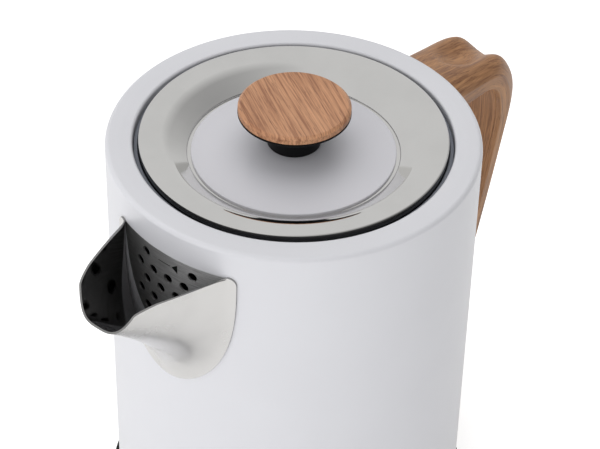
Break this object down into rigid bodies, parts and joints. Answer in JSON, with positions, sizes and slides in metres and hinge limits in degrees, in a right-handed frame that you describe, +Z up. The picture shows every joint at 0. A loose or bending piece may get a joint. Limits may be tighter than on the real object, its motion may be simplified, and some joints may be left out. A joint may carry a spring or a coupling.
{
  "type": "cordless jug kettle",
  "caption": "Tall cordless electric jug kettle: white round body, open steel strainer spout, push-in lid with wooden knob, wood-effect handle with a switch, on a round power base.",
  "frame": {"origin": "where the jug's vertical axis meets the table, in the plane of the foot ring", "axes": "+Z up; +X from the jug's axis to the handle, so the spout is on -X; +Y completes the right-hand frame"},
  "size_m": [0.2387, 0.148, 0.209],
  "materials": {
    "white_enamel": "smooth cool-white enamel, satin gloss",
    "white_disc": "satin cool white",
    "polished_steel": "mirror polished stainless steel",
    "brushed_steel": "fine brushed stainless steel",
    "hardware_steel": "plain zinc-plated steel",
    "wood_effect_handle": "satin plastic with a printed oak grain",
    "knob_wood": "oiled oak",
    "black_plastic": "fine satin black",
    "switch_plastic": "semi-gloss black",
    "white_plastic": "off-white moulded plastic",
    "wire_sleeve": "brown wire insulation",
    "silicone": "smooth dark grey silicone",
    "rubber": "matt black rubber",
    "aluminium": "bare cast aluminium",
    "brass": "bright contact brass"
  },
  "bodies": {
    "base": {"base_top": "black_plastic", "base_bottom": "black_plastic", "foot_ring": "rubber", "base_screws": "hardware_steel", "connector_post": "black_plastic", "connector_pin": "brass", "neutral_ring": "brass", "cord_gland": "rubber", "cord_clamp": "black_plastic", "clamp_screws": "hardware_steel", "terminal_block": "white_plastic", "base_leads": "wire_sleeve"},
    "swivel": {"swivel_collar": "black_plastic"},
    "jug": {"jug_body": "white_enamel", "spout": "polished_steel", "jug_skirt": "black_plastic", "jug_floor": "brushed_steel", "heat_spreader": "aluminium", "heating_element": "aluminium", "control_housing": "black_plastic", "bimetal_discs": "hardware_steel", "connector_socket": "black_plastic", "socket_contacts": "brass", "control_blades": "brass", "skirt_screws": "hardware_steel", "handle_shell": "wood_effect_handle", "handle_cover": "wood_effect_handle", "upper_bracket": "hardware_steel", "lower_bracket": "hardware_steel", "handle_screws": "hardware_steel", "steam_tube": "silicone", "steam_disc": "hardware_steel", "steam_disc_carrier": "black_plastic", "switch_pin": "hardware_steel", "switch_bracket": "black_plastic", "contact_rails": "brass"},
    "lid": {"lid_ring": "polished_steel", "lid_disc": "white_disc", "lid_plug": "brushed_steel", "lid_seal": "silicone", "knob_stem": "black_plastic", "knob_cap": "knob_wood", "knob_washer": "hardware_steel", "knob_screw": "hardware_steel"},
    "switch": {"switch_lever": "switch_plastic", "contact_bridge": "black_plastic"}
  },
  "joints": [
    {"name": "jug_swivel", "type": "hinge", "parent": "base", "child": "swivel", "pos_m": [0, 0, 0.017], "axis": [0, 0, 1], "continuous": true},
    {"name": "jug_lift", "type": "slide", "parent": "swivel", "child": "jug", "axis": [0, 0, 1], "range_m": [0, 0.06]},
    {"name": "lid_lift", "type": "slide", "parent": "jug", "child": "lid", "axis": [0, 0, 1], "range_m": [0, 0.06]},
    {"name": "switch_rock", "type": "hinge", "parent": "jug", "child": "switch", "pos_m": [0.083, 0, 0.038], "axis": [0, 1, 0], "range_deg": [0, 12]}
  ]
}
